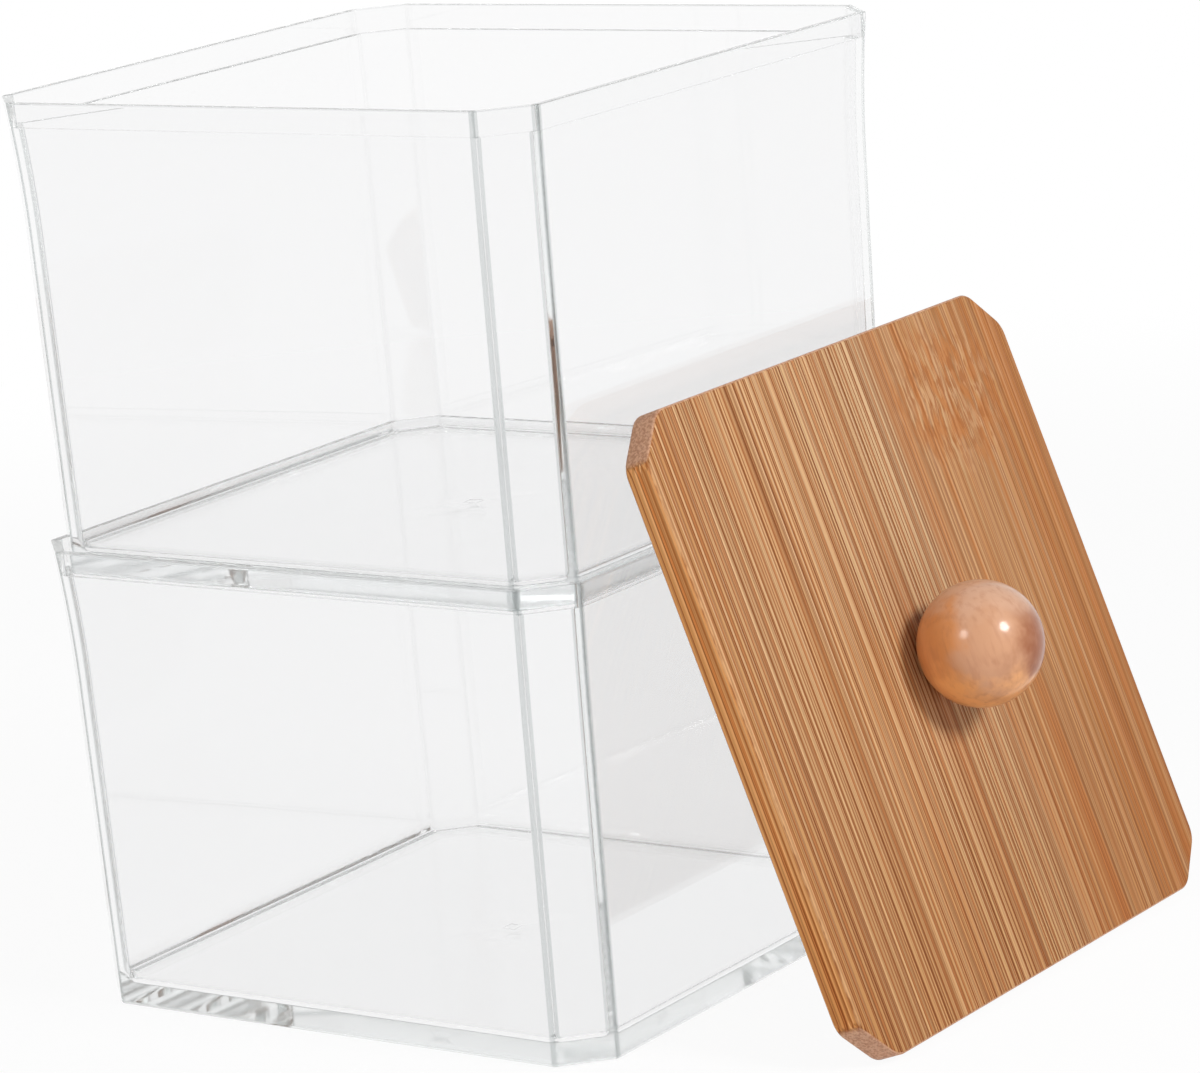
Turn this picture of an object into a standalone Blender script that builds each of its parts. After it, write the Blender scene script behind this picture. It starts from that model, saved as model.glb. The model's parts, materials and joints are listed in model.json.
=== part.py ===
"""Two clear square boxes with cut corners, one nested on the other, and a bamboo lid with a ball knob.

The lid is off. It stands on its lower edge beside the stack and leans on the upper box's right wall.
Metres, +Z up. The origin is the middle of the lower box's underside, on the surface it stands on.
Run with: blender --background --python part.py
"""

import math

import bmesh
import bpy
from mathutils import Vector

# Both boxes
RIM_WIDTH = 0.104
BOX_HEIGHT = 0.0754
CORNER_LEG = 0.0071
SIDE_WALL = 0.0026
FLOOR_THICKNESS = 0.003
FLOOR_FILLET = 0.002
WALL_DRAFT = math.radians(0.9)
FLARE_WIDTH = 0.00078
FLARE_DEPTH = 0.022
LEDGE_DEPTH = 0.004
BASE_EDGE_RADIUS = 0.0006
RIM_EDGE_RADIUS = 0.00025
OUTER_ARRIS_RADIUS = 0.001
INNER_ARRIS_RADIUS = 0.0007

# Gaps and fits
SEAT_GAP = 0.0003
NEST_CLEARANCE = 0.0003
PLUG_CLEARANCE = 0.0003
SCREW_CLEARANCE = 0.0003
SCREW_TIP_CLEARANCE = 0.001

# Lid
LID_SETBACK = 0.0004
LID_THICKNESS = 0.0048
LID_CORNER_LEG = 0.0068
LID_CORNER_RADIUS = 0.004
BOARD_EDGE_RADIUS = 0.0005
PLUG_THICKNESS = 0.005
PLUG_CORNER_RADIUS = 0.0025
PLUG_LAND = 0.0006
PLUG_BEVEL_WIDTH = 0.0056
LID_LEAN = math.radians(19.6)
LID_SIDE_SHIFT = 0.0152

# Knob
KNOB_RADIUS = 0.01
KNOB_FOOT_RADIUS = 0.0047

# Screw
SCREW_RADIUS = 0.00175
SCREW_LENGTH = 0.02
SCREW_HEAD_RADIUS = 0.0036
SCREW_HEAD_DEPTH = 0.002
SCREW_HEAD_EDGE = 0.0003
THREAD_PITCH = 0.0012
THREAD_DEPTH = 0.0004
TIP_LENGTH = 0.003
TIP_RADIUS = 0.0002
RECESS_REACH = 0.0019
RECESS_WIDTH = 0.0008
RECESS_DEPTH = 0.0014
CUT_OVERRUN = 0.001

# Counts
ARRIS_STEPS = 3
EDGE_STEPS = 3
FILLET_STEPS = 6
FLARE_STEPS = 6
KNOB_TURN_STEPS = 48
KNOB_ARC_STEPS = 22
SCREW_TURN_STEPS = 24
LEAN_SAMPLES = 400

# An octagon's corner leg loses this share of any distance that its sides move in.
LEG_LOSS_SHARE = 2 - math.sqrt(2)
# The cross recess narrows to this share at its bottom.
RECESS_TAPER_SHARE = 0.45


def outer_half(height):
    """Give half the width of a box's outer wall at a height above its underside."""
    depth = BOX_HEIGHT - height
    flare_share = min(max(depth / FLARE_DEPTH, 0), 1)
    return RIM_WIDTH / 2 - depth * math.tan(WALL_DRAFT) - FLARE_WIDTH * (1 - (1 - flare_share) ** 2)


def inner_half(height):
    """Give half the width of a box's inside below the ledge."""
    return outer_half(height) - SIDE_WALL


def inset_leg(distance, leg=CORNER_LEG):
    """Give the corner leg of an octagon whose sides have moved in by a distance."""
    return leg - LEG_LOSS_SHARE * distance


# A box stands on the ledge inside the rim below it, so the mouth takes its width from the base.
NEST_DEPTH = LEDGE_DEPTH - SEAT_GAP
STACK_PITCH = BOX_HEIGHT - NEST_DEPTH
LEDGE_HEIGHT = BOX_HEIGHT - LEDGE_DEPTH
MOUTH_HALF = outer_half(NEST_DEPTH) + NEST_CLEARANCE
RIM_WALL = RIM_WIDTH / 2 - MOUTH_HALF

# The lid's board lies on the rim and its plug fills the mouth, with a bevel that leads it in.
LID_HALF = RIM_WIDTH / 2 - LID_SETBACK
PLUG_HALF = MOUTH_HALF - PLUG_CLEARANCE
PLUG_TIP_HALF = PLUG_HALF - PLUG_BEVEL_WIDTH
PLUG_BACK = -SEAT_GAP - PLUG_THICKNESS

# The screw's head lies flush in the plug's back.
BORE_RADIUS = SCREW_RADIUS + SCREW_CLEARANCE
HEAD_BORE_RADIUS = SCREW_HEAD_RADIUS + SCREW_CLEARANCE
HEAD_RIM = PLUG_BACK + SCREW_HEAD_EDGE
HEAD_NECK = HEAD_RIM + SCREW_HEAD_DEPTH
SCREW_TIP = PLUG_BACK + SCREW_LENGTH
KNOB_FOOT = LID_THICKNESS + SEAT_GAP
KNOB_CENTRE = KNOB_FOOT + math.sqrt(KNOB_RADIUS ** 2 - KNOB_FOOT_RADIUS ** 2)


def clear_scene():
    """Remove every object that the file opened with."""
    for old in list(bpy.data.objects):
        bpy.data.objects.remove(old, do_unlink=True)


def make_material(name, color, roughness, metallic=0.0, transmission=0.0, alpha=1.0):
    """Make one Principled material."""
    material = bpy.data.materials.new(name)
    material.use_nodes = True
    shader = material.node_tree.nodes["Principled BSDF"]
    shader.inputs["Base Color"].default_value = (*color, 1.0)
    shader.inputs["Roughness"].default_value = roughness
    shader.inputs["Metallic"].default_value = metallic
    shader.inputs["Transmission Weight"].default_value = transmission
    shader.inputs["Alpha"].default_value = alpha
    return material


def add_object(name, bm, material, parent=None):
    """Turn a bmesh into a named object with smooth sides and sharp edges."""
    bmesh.ops.recalc_face_normals(bm, faces=bm.faces)
    mesh = bpy.data.meshes.new(name)
    bm.to_mesh(mesh)
    bm.free()
    mesh.shade_smooth()
    mesh.set_sharp_from_angle(angle=math.radians(35))
    mesh.materials.append(material)
    obj = bpy.data.objects.new(name, mesh)
    bpy.context.scene.collection.objects.link(obj)
    obj.parent = parent
    return obj


def add_cutter(name, bm, parent):
    """Keep a bmesh as a wire guide that only cuts."""
    cutter = add_object(name, bm, make_material(name, (0.5, 0.5, 0.5), 0.5), parent)
    cutter.hide_render = True
    cutter.display_type = "WIRE"
    return cutter


def cut(obj, cutter):
    """Cut one object with another."""
    modifier = obj.modifiers.new("cut_" + cutter.name, "BOOLEAN")
    modifier.operation = "DIFFERENCE"
    modifier.solver = "EXACT"
    modifier.object = cutter


def octagon(half, leg, radius, height):
    """List the points of a square with its corners cut off at 45 degrees and its eight arrises rounded."""
    corners = []
    for quarter in range(4):
        turn = math.radians(90 * quarter)
        for x, y in ((half, half - leg), (half - leg, half)):
            corners.append(Vector((x * math.cos(turn) - y * math.sin(turn),
                                   x * math.sin(turn) + y * math.cos(turn))))
    eighth = math.radians(45)
    tangent = radius * math.tan(eighth / 2)
    to_centre = radius / math.cos(eighth / 2)
    points = []
    for index, corner in enumerate(corners):
        before = (corners[index - 1] - corner).normalized()
        after = (corners[(index + 1) % len(corners)] - corner).normalized()
        centre = corner + (before + after).normalized() * to_centre
        start = corner + before * tangent - centre
        for step in range(ARRIS_STEPS + 1):
            angle = eighth * step / ARRIS_STEPS
            points.append((centre.x + start.x * math.cos(angle) - start.y * math.sin(angle),
                           centre.y + start.x * math.sin(angle) + start.y * math.cos(angle),
                           height))
    return points


def loft(bm, rings):
    """Join rings of as many points each with quads, and close the first and the last."""
    loops = [[bm.verts.new(point) for point in ring] for ring in rings]
    for lower, upper in zip(loops, loops[1:]):
        for index in range(len(lower)):
            following = (index + 1) % len(lower)
            bm.faces.new((lower[index], lower[following], upper[following], upper[index]))
    bm.faces.new(reversed(loops[0]))
    bm.faces.new(loops[-1])


def turned(profile, steps):
    """Spin a profile of (radius, height) points about Z. Its two ends lie on the axis."""
    bm = bmesh.new()
    first = bm.verts.new((0, 0, profile[0][1]))
    last = bm.verts.new((0, 0, profile[-1][1]))
    loops = []
    for radius, height in profile[1:-1]:
        loop = []
        for step in range(steps):
            angle = math.tau * step / steps
            loop.append(bm.verts.new((radius * math.cos(angle), radius * math.sin(angle), height)))
        loops.append(loop)
    for index in range(steps):
        following = (index + 1) % steps
        bm.faces.new((first, loops[0][following], loops[0][index]))
        bm.faces.new((last, loops[-1][index], loops[-1][following]))
        for lower, upper in zip(loops, loops[1:]):
            bm.faces.new((lower[index], lower[following], upper[following], upper[index]))
    return bm


def box_outside():
    """List a box's rings from its underside, round the lower edge and up the flaring wall."""
    rings = []
    for step in range(EDGE_STEPS + 1):
        angle = math.radians(90) * step / EDGE_STEPS
        height = BASE_EDGE_RADIUS * (1 - math.cos(angle))
        moved_in = BASE_EDGE_RADIUS * (1 - math.sin(angle))
        rings.append(octagon(outer_half(height) - moved_in, inset_leg(moved_in), OUTER_ARRIS_RADIUS, height))
    for step in range(FLARE_STEPS + 1):
        depth = FLARE_DEPTH + (RIM_EDGE_RADIUS - FLARE_DEPTH) * step / FLARE_STEPS
        height = BOX_HEIGHT - depth
        rings.append(octagon(outer_half(height), CORNER_LEG, OUTER_ARRIS_RADIUS, height))
    return rings


def box_rim():
    """List a box's rings over its rim and down the mouth to the ledge."""
    edge = RIM_EDGE_RADIUS
    mouth_leg = inset_leg(RIM_WALL)
    return [octagon(RIM_WIDTH / 2 - edge, inset_leg(edge), OUTER_ARRIS_RADIUS, BOX_HEIGHT),
            octagon(MOUTH_HALF + edge, inset_leg(RIM_WALL - edge), INNER_ARRIS_RADIUS, BOX_HEIGHT),
            octagon(MOUTH_HALF, mouth_leg, INNER_ARRIS_RADIUS, BOX_HEIGHT - edge),
            octagon(MOUTH_HALF, mouth_leg, INNER_ARRIS_RADIUS, LEDGE_HEIGHT)]


def box_inside():
    """List a box's rings from the ledge's inner edge, down the inside and round the fillet to the floor."""
    rings = []
    inner_leg = inset_leg(SIDE_WALL)
    for step in range(FLARE_STEPS + 1):
        depth = LEDGE_DEPTH + (FLARE_DEPTH - LEDGE_DEPTH) * step / FLARE_STEPS
        height = BOX_HEIGHT - depth
        rings.append(octagon(inner_half(height), inner_leg, INNER_ARRIS_RADIUS, height))
    fillet_top = FLOOR_THICKNESS + FLOOR_FILLET
    for step in range(FILLET_STEPS + 1):
        angle = math.radians(90) * step / FILLET_STEPS
        height = fillet_top - FLOOR_FILLET * math.sin(angle)
        moved_in = FLOOR_FILLET * (1 - math.cos(angle))
        leg = inset_leg(moved_in, inner_leg)
        rings.append(octagon(inner_half(fillet_top) - moved_in, leg, INNER_ARRIS_RADIUS, height))
    return rings


def make_box(name, height):
    """Make one box with its underside at a height."""
    bm = bmesh.new()
    loft(bm, box_outside() + box_rim() + box_inside())
    clear = make_material(name, (0.94, 0.96, 0.97), 0.03, transmission=1.0, alpha=0.35)
    box = add_object(name, bm, clear)
    box.location = (0, 0, height)
    return box


def board_top(half, leg, radius, top):
    """List the rings round the upper edge of a flat octagonal board whose corners have a radius."""
    rings = []
    for step in range(EDGE_STEPS + 1):
        angle = math.radians(90) * step / EDGE_STEPS
        moved_in = BOARD_EDGE_RADIUS * (1 - math.cos(angle))
        height = top - BOARD_EDGE_RADIUS * (1 - math.sin(angle))
        rings.append(octagon(half - moved_in, inset_leg(moved_in, leg), radius, height))
    return rings


def board_bottom(half, leg, radius, bottom):
    """List the rings round the lower edge of a flat octagonal board whose corners have a radius."""
    rings = []
    for step in range(EDGE_STEPS + 1):
        angle = math.radians(90) * step / EDGE_STEPS
        moved_in = BOARD_EDGE_RADIUS * (1 - math.sin(angle))
        height = bottom + BOARD_EDGE_RADIUS * (1 - math.cos(angle))
        rings.append(octagon(half - moved_in, inset_leg(moved_in, leg), radius, height))
    return rings


def plug_rings():
    """List the plug's rings: its rounded back, the bevel, and the land that fills the mouth."""
    root_leg = inset_leg(RIM_WIDTH / 2 - PLUG_HALF)
    tip_leg = inset_leg(PLUG_BEVEL_WIDTH, root_leg)
    rings = board_bottom(PLUG_TIP_HALF, tip_leg, PLUG_CORNER_RADIUS, PLUG_BACK)
    rings.append(octagon(PLUG_HALF, root_leg, PLUG_CORNER_RADIUS, -SEAT_GAP - PLUG_LAND))
    rings.append(octagon(PLUG_HALF, root_leg, PLUG_CORNER_RADIUS, -SEAT_GAP))
    return rings


def wall_half_at(height):
    """Give half the width of the stack at a height, or zero above it."""
    halves = [outer_half(height - base) for base in (0, STACK_PITCH) if 0 <= height - base <= BOX_HEIGHT]
    return max(halves, default=0)


def lid_origin():
    """Place the middle of the board's underside, so that the lid stands on its edge and touches the stack.

    In the lid's own frame X runs down the board and Z points out of it. The outline of its back is
    followed in steps, and the lid stands where the step that comes nearest the stack keeps the seat gap.
    """
    sine = math.sin(LID_LEAN)
    cosine = math.cos(LID_LEAN)
    edge_lift = BOARD_EDGE_RADIUS * (sine + cosine - 1)
    height = LID_HALF * cosine - edge_lift
    land = -SEAT_GAP - PLUG_LAND
    outline = [(-LID_HALF, 0), (-PLUG_HALF, land), (-PLUG_TIP_HALF, PLUG_BACK), (PLUG_TIP_HALF, PLUG_BACK),
               (PLUG_HALF, land), (LID_HALF, 0)]
    reach = 0
    for start, end in zip(outline, outline[1:]):
        for sample in range(LEAN_SAMPLES + 1):
            share = sample / LEAN_SAMPLES
            down = start[0] + (end[0] - start[0]) * share
            out = start[1] + (end[1] - start[1]) * share
            wall = wall_half_at(height - down * cosine + out * sine)
            reach = max(reach, wall - down * sine - out * cosine)
    return Vector((reach + SEAT_GAP - edge_lift, LID_SIDE_SHIFT, height))


def bore_profile():
    """Give the turned outline of the screw's way through both boards, countersunk at the back."""
    start = PLUG_BACK - CUT_OVERRUN
    end = LID_THICKNESS + CUT_OVERRUN
    return [(0, start), (HEAD_BORE_RADIUS, start), (HEAD_BORE_RADIUS, HEAD_RIM + SCREW_CLEARANCE),
            (BORE_RADIUS, HEAD_NECK + SCREW_CLEARANCE), (BORE_RADIUS, end), (0, end)]


def make_board(name, rings, color, parent):
    """Make one bamboo board of the lid with the screw's bore through it."""
    bm = bmesh.new()
    loft(bm, rings)
    board = add_object(name, bm, make_material(name, color, 0.5), parent)
    cut(board, add_cutter(name + "_bore", turned(bore_profile(), SCREW_TURN_STEPS), parent))
    return board


def make_knob(parent):
    """Make the turned ball knob with its flat foot and the screw's blind bore."""
    bore_end = SCREW_TIP + SCREW_TIP_CLEARANCE
    profile = [(0, bore_end), (BORE_RADIUS, bore_end), (BORE_RADIUS, KNOB_FOOT)]
    start = math.asin(KNOB_FOOT_RADIUS / KNOB_RADIUS)
    for step in range(KNOB_ARC_STEPS):
        angle = start + (math.pi - start) * step / KNOB_ARC_STEPS
        profile.append((KNOB_RADIUS * math.sin(angle), KNOB_CENTRE - KNOB_RADIUS * math.cos(angle)))
    profile.append((0, KNOB_CENTRE + KNOB_RADIUS))
    bm = turned(profile, KNOB_TURN_STEPS)
    return add_object("knob", bm, make_material("knob", (0.72, 0.44, 0.25), 0.25), parent)


def screw_profile():
    """Give the countersunk wood screw's outline from the middle of its head to its tip."""
    root = SCREW_RADIUS - THREAD_DEPTH
    thread_start = HEAD_NECK + THREAD_PITCH
    thread_end = SCREW_TIP - TIP_LENGTH
    turns = int((thread_end - thread_start) / THREAD_PITCH)
    profile = [(0, PLUG_BACK), (SCREW_HEAD_RADIUS, PLUG_BACK), (SCREW_HEAD_RADIUS, HEAD_RIM),
               (SCREW_RADIUS, HEAD_NECK), (SCREW_RADIUS, thread_start)]
    for turn in range(turns):
        height = thread_start + THREAD_PITCH * turn
        profile.append((root, height + THREAD_PITCH / 4))
        profile.append((root, height + THREAD_PITCH / 2))
        profile.append((SCREW_RADIUS, height + THREAD_PITCH))
    profile.append((root, thread_end + THREAD_PITCH / 4))
    profile.append((TIP_RADIUS, SCREW_TIP))
    profile.append((0, SCREW_TIP))
    return profile


def make_recess(parent):
    """Make the tapered cross that is pressed into the screw's head."""
    arm = RECESS_REACH
    wide = RECESS_WIDTH / 2
    cross = ((arm, -wide), (arm, wide), (wide, wide), (wide, arm), (-wide, arm), (-wide, wide),
             (-arm, wide), (-arm, -wide), (-wide, -wide), (-wide, -arm), (wide, -arm), (wide, -wide))
    narrow = [(x * RECESS_TAPER_SHARE, y * RECESS_TAPER_SHARE) for x, y in cross]
    levels = ((cross, PLUG_BACK - CUT_OVERRUN), (cross, PLUG_BACK), (narrow, PLUG_BACK + RECESS_DEPTH))
    bm = bmesh.new()
    loft(bm, [[(x, y, height) for x, y in outline] for outline, height in levels])
    return add_cutter("screw_recess", bm, parent)


def make_screw(parent):
    """Make the screw that holds the knob and both boards together."""
    steel = make_material("knob_screw", (0.62, 0.62, 0.62), 0.35, metallic=1.0)
    screw = add_object("knob_screw", turned(screw_profile(), SCREW_TURN_STEPS), steel, parent)
    cut(screw, make_recess(parent))
    return screw


def make_lid():
    """Make the lid's pieces under one empty that leans them on the stack."""
    pose = bpy.data.objects.new("lid_pose", None)
    bpy.context.scene.collection.objects.link(pose)
    pose.location = lid_origin()
    pose.rotation_euler = (0, math.radians(90) - LID_LEAN, 0)
    outline = (LID_HALF, LID_CORNER_LEG, LID_CORNER_RADIUS)
    rings = board_bottom(*outline, 0) + board_top(*outline, LID_THICKNESS)
    make_board("lid_board", rings, (0.62, 0.38, 0.19), pose)
    make_board("lid_plug", plug_rings(), (0.64, 0.41, 0.22), pose)
    make_knob(pose)
    make_screw(pose)


def main():
    """Build the stack and the lid."""
    clear_scene()
    make_box("lower_box", 0)
    make_box("upper_box", STACK_PITCH)
    make_lid()
    bpy.context.view_layer.update()


main()
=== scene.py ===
"""Looks for two nested clear boxes with cut corners and the bamboo lid that leans on them.

Metres, +Z up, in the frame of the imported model. The boxes stand on z = 0, -Y is the front and the lid is
at +X.
"""

import json
import logging
import math
from collections.abc import Mapping
from dataclasses import dataclass, field, replace
from enum import Enum
from typing import Any

import bpy
import numpy as np
from mathutils import Matrix, Vector


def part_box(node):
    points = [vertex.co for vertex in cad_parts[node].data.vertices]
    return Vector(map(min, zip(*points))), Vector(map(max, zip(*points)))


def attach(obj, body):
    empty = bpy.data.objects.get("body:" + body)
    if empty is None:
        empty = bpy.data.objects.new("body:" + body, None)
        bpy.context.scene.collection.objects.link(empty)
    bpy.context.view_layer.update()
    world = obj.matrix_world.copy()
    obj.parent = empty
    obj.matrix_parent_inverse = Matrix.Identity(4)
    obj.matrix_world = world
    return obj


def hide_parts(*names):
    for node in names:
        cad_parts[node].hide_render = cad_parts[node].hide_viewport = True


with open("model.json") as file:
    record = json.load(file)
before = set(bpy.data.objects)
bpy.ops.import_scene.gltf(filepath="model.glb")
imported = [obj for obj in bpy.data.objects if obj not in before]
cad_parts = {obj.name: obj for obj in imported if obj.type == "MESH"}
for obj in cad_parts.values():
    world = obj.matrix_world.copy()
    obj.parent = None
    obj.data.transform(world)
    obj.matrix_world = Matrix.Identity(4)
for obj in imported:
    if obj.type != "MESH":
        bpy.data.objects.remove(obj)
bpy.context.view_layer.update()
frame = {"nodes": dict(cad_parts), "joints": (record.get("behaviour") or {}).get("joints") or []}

MM = 0.001
TURN = 2 * math.pi
RIGHT_ANGLE = math.radians(90)
OCTAGON_TURN = math.radians(45)
SIDES = 8
# Points beside each arc that keep an octagon's sides flat
HOLD_POINTS = 2
# An octagon's corner leg loses this share of any distance that its sides move in.
LEG_LOSS_SHARE = 2 - math.sqrt(2)
SHARP_ANGLE = math.radians(35)

log = logging.getLogger("stack_and_lid")

Array = np.ndarray
Piece = bpy.types.Object
Material = bpy.types.Material
Color = tuple[float, float, float]
Direction = tuple[float, float, float]
Sockets = Mapping[str | int, Any]
WHITE: Color = (1.0, 1.0, 1.0)


class Slot(Enum):
    """The record's material slots."""

    CLEAR_PLASTIC = "clear_plastic"
    BAMBOO = "bamboo"
    KNOB_WOOD = "knob_wood"
    SCREW_STEEL = "screw_steel"


class Body(Enum):
    """The bodies that pieces ride on."""

    LOWER = "lower"
    UPPER = "upper"
    LID = "lid"


class Ends(Enum):
    """How a skin of rings is closed at its ends."""

    POLES = "poles"
    LOOP = "loop"


def octagon_rings(half: Array, leg: Array, radius: float, height: Array, arc_steps: int,
                  hold: float) -> Array:
    """Work out octagonal rings, one for each entry of the arrays.

    An octagon's side k lies at distance d from the axis with its normal at 45 k degrees: d is the half width
    for even k and (2 half - leg) / sqrt 2 for the cut corners. Each arris is an arc of the radius about the
    point where two neighbouring sides, both moved in by the radius, meet. One more point at each end of an
    arc, a hold's length along the side, keeps the side flat in shading.

    Args:
        half: Half the width of each ring.
        leg: Corner leg of each ring.
        radius: Arris radius of all rings.
        height: Height of each ring.
        arc_steps: Steps round one arris.
        hold: Distance of the extra points from the arc's ends.

    Returns:
        Points of shape (rings, points, 3), counter-clockwise seen from above.
    """
    side = np.arange(SIDES)
    normal_angle = OCTAGON_TURN * side
    cut = (2 * half - leg) / math.sqrt(2)
    distance = np.where(side % 2 == 0, half[:, None], cut[:, None]) - radius
    following = np.roll(distance, -1, axis=1)
    here, ahead = normal_angle, normal_angle + OCTAGON_TURN
    centre_x = (distance * np.sin(ahead) - following * np.sin(here)) / math.sin(OCTAGON_TURN)
    centre_y = (following * np.cos(here) - distance * np.cos(ahead)) / math.sin(OCTAGON_TURN)
    arc = here[:, None] + OCTAGON_TURN * np.linspace(0, 1, arc_steps + 1)
    arc = np.concatenate([arc[:, :1], arc, arc[:, -1:]], axis=1)
    along = np.zeros(arc.shape[1])
    along[0], along[-1] = -hold, hold
    x = centre_x[:, :, None] + radius * np.cos(arc) - along * np.sin(arc)
    y = centre_y[:, :, None] + radius * np.sin(arc) + along * np.cos(arc)
    z = np.broadcast_to(height[:, None, None], x.shape)
    return np.stack([x, y, z], axis=-1).reshape(len(half), -1, 3)


def arris_share(arc_steps: int) -> Array:
    """Give 1 for each point of an octagon ring that lies on an arris, and 0 for the holding points.

    Args:
        arc_steps: Steps round one arris.

    Returns:
        One number for each point of a ring.
    """
    one = np.ones(arc_steps + 1 + HOLD_POINTS)
    one[0] = one[-1] = 0
    return np.tile(one, SIDES)


def circle_rings(radius: Array, height: Array, angles: Array) -> Array:
    """Work out circles as radius times the cosine and sine of the angles, at the heights.

    Args:
        radius: Radius of each ring.
        height: Height of each ring.
        angles: Angle of each point.

    Returns:
        Points of shape (rings, points, 3).
    """
    x = radius[:, None] * np.cos(angles)
    y = radius[:, None] * np.sin(angles)
    return np.stack([x, y, np.broadcast_to(height[:, None], x.shape)], axis=-1)


def ring_angles(ring: Array) -> Array:
    """Give the angle of each point of a ring about the axis."""
    return np.arctan2(ring[:, 1], ring[:, 0])


def quarter(radius: float, steps: int) -> tuple[Array, Array]:
    """Follow a quarter circle: give the radius times 1 less the cosine, and times 1 less the sine."""
    angle = RIGHT_ANGLE * np.linspace(0, 1, steps + 1)
    return radius * (1 - np.cos(angle)), radius * (1 - np.sin(angle))


def add_object(name: str, data: bpy.types.ID) -> Piece:
    """Make an object of the data and link it to the scene.

    Args:
        name: Name of the object.
        data: Its mesh, camera or lamp data.

    Returns:
        The new object.
    """
    made = bpy.data.objects.new(name, data)
    bpy.context.scene.collection.objects.link(made)
    return made


def skin(name: str, rings: Array, ends: Ends) -> Piece:
    """Make a mesh of quads between neighbouring rings.

    Quad (i, j) joins points j and j + 1 of rings i and i + 1. With poles, the first and the last ring shrink
    to one point each and fans of triangles close them. In a loop, the last ring joins the first.

    Args:
        name: Name of the new object.
        rings: Points of shape (rings, points, 3).
        ends: How the ends are closed.

    Returns:
        The new object, at the origin, with smooth faces and sharp edges where the surface breaks.
    """
    count, around = rings.shape[:2]
    if ends is Ends.POLES:
        points = np.concatenate([rings[:1].mean(axis=1), rings[1:-1].reshape(-1, 3), rings[-1:].mean(axis=1)])
        index = 1 + np.arange((count - 2) * around).reshape(count - 2, around)
        first, last = index[0], index[-1]
        start = np.stack([np.zeros_like(first), np.roll(first, -1), first], axis=-1)
        end = np.stack([np.full_like(last, len(points) - 1), last, np.roll(last, -1)], axis=-1)
        fans = np.concatenate([start, end]).tolist()
        upper, lower = index[1:], index[:-1]
    else:
        points = rings.reshape(-1, 3)
        lower = np.arange(count * around).reshape(count, around)
        upper = np.roll(lower, -1, axis=0)
        fans = []
    quads = np.stack([lower, np.roll(lower, -1, axis=1), np.roll(upper, -1, axis=1), upper], axis=-1)
    mesh = bpy.data.meshes.new(name)
    mesh.from_pydata(points.tolist(), [], fans + quads.reshape(-1, 4).tolist())
    mesh.shade_smooth()
    mesh.set_sharp_from_angle(angle=SHARP_ANGLE)
    return add_object(name, mesh)


def paint_points(piece: Piece, name: str, values: Array) -> None:
    """Keep one number for each point of a piece as an attribute."""
    attribute = piece.data.attributes.new(name, "FLOAT", "POINT")
    attribute.data.foreach_set("value", values.astype(np.float32))


def placed(rings: Array, place: Matrix) -> Array:
    """Carry points by a matrix: the turn times the point, plus the shift."""
    turn = np.array(place.to_3x3())
    return rings @ turn.T + np.array(place.translation)


@dataclass(frozen=True)
class Step:
    """A smooth step: as a value goes from start to end, the result goes from first to last."""

    start: float
    end: float
    first: float = 0.0
    last: float = 1.0


@dataclass(frozen=True)
class Cloud:
    """A noise pattern: features per metre, levels of detail and how rough they are."""

    scale: float
    detail: float = 2.0
    roughness: float = 0.5


@dataclass(frozen=True)
class Grain:
    """A noise pattern stretched along fibres: features per metre along, across and out of the face."""

    along: float
    across: float
    out: float
    detail: float = 1.0
    roughness: float = 0.5
    shift: float = 0.0


@dataclass(frozen=True)
class Lines:
    """Thin lines on the borders of uneven cells: cells per metre, and half a line's width."""

    rate: float
    half: float


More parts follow.
